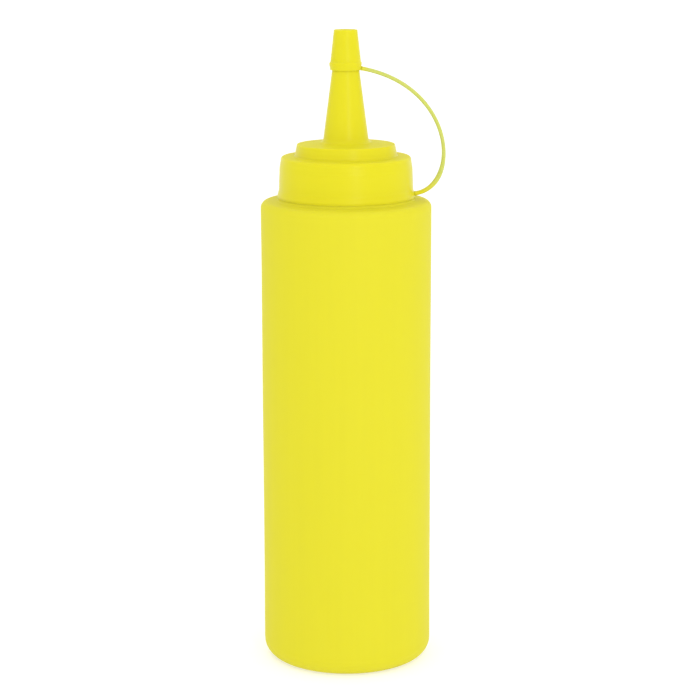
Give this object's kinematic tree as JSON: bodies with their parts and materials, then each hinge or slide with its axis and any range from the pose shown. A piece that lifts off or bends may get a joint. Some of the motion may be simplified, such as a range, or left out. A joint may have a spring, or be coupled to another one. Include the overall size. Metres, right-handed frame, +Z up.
{
  "type": "squeeze sauce bottle",
  "caption": "Straight round squeeze bottle with a screw cap, a stepped top, a cone nozzle and a tip cap tethered by a moulded strap.",
  "frame": {"origin": "on the bottle's axis at the level of its foot ring, so the part stands on z = 0", "axes": "+Z up the bottle's axis to the nozzle, +X towards the side on which the strap loops out"},
  "size_m": [0.0757, 0.07, 0.263],
  "materials": {
    "bottle": "blow-moulded soft polyethylene, satin",
    "liner": "closed-cell foam sheet, matte",
    "cap": "injection-moulded polyethylene, soft gloss",
    "strap": "thin injection-moulded polyethylene, slightly see-through",
    "tip_cap": "injection-moulded polyethylene, soft gloss"
  },
  "bodies": {
    "bottle": {"bottle": "bottle"},
    "liner": {"cap_liner": "liner"},
    "cap": {"screw_cap": "cap", "tether_strap": "strap"},
    "tip_cap": {"tip_cap": "tip_cap"}
  },
  "joints": [
    {"name": "cap_rise", "type": "slide", "parent": "bottle", "child": "liner", "axis": [0, 0, 1], "range_m": [0, 0.0212]},
    {"name": "cap_turn", "type": "hinge", "parent": "liner", "child": "cap", "pos_m": [0, 0, 0.195], "axis": [0, 0, 1], "range_deg": [0, 1800]},
    {"name": "tip_cap_pull", "type": "slide", "parent": "cap", "child": "tip_cap", "axis": [0, 0, 1], "range_m": [0, 0.014], "deforming": ["tether_strap"]}
  ],
  "couplings": [
    {"joint": "cap_rise", "follows": "cap_turn", "m_per_rad": 0.00067322}
  ]
}
